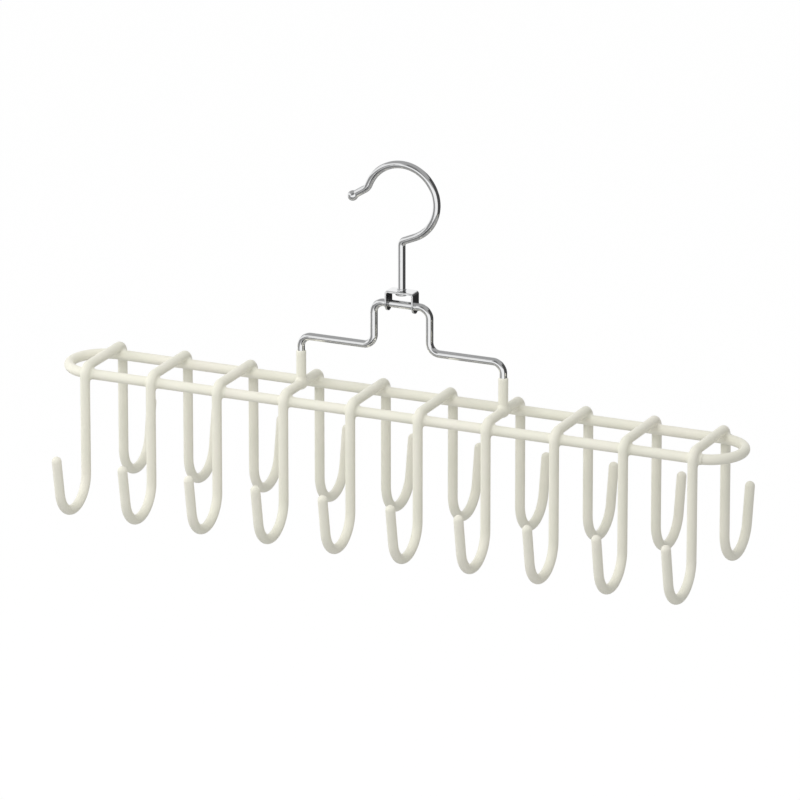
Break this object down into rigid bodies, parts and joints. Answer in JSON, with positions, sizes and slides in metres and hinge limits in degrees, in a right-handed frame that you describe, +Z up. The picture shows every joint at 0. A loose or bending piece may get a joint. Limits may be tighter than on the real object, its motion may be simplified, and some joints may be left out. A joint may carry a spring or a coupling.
{
  "type": "scarf hanger",
  "caption": "Closet hanger for scarves: a chrome swivel hook carries a plastic-coated wire rack whose cross wires end in upturned hooks at the front and the rear",
  "frame": {"origin": "the point inside the top of the rod hook that rests on a closet rod, in the middle of its wire", "axes": "+Z up, X along the rack, front hooks on the -Y side, the rod hook opens towards -X"},
  "size_m": [0.4036, 0.123, 0.2126],
  "materials": {
    "chrome": "bright chrome plating on bent steel wire and sheet",
    "steel_wire": "bare drawn steel wire, hidden under the coating",
    "cream_coating": "soft dip-coated plastic, cream, with a satin sheen and rounded dips at the tips"
  },
  "bodies": {
    "hook": {"rod_hook": "chrome"},
    "bracket": {"swivel_bracket": "chrome"},
    "rack": {"hat_wire": "chrome", "leg_coating_left": "cream_coating", "leg_coating_right": "cream_coating", "ring_wire": "steel_wire", "ring_coating": "cream_coating", "cross_wire_01": "steel_wire", "cross_wire_02": "steel_wire", "cross_wire_03": "steel_wire", "cross_wire_04": "steel_wire", "cross_wire_05": "steel_wire", "cross_wire_06": "steel_wire", "cross_wire_07": "steel_wire", "cross_wire_08": "steel_wire", "cross_wire_09": "steel_wire", "cross_wire_10": "steel_wire", "cross_coating_01": "cream_coating", "cross_coating_02": "cream_coating", "cross_coating_03": "cream_coating", "cross_coating_04": "cream_coating", "cross_coating_05": "cream_coating", "cross_coating_06": "cream_coating", "cross_coating_07": "cream_coating", "cross_coating_08": "cream_coating", "cross_coating_09": "cream_coating", "cross_coating_10": "cream_coating"}
  },
  "joints": [
    {"name": "hook_swivel", "type": "hinge", "parent": "hook", "child": "bracket", "pos_m": [0, 0, -0.0691], "axis": [0, 0, 1], "continuous": true},
    {"name": "rack_tilt", "type": "hinge", "parent": "bracket", "child": "rack", "pos_m": [0, 0, -0.0765], "axis": [1, 0, 0], "range_deg": [-130, 130]}
  ]
}
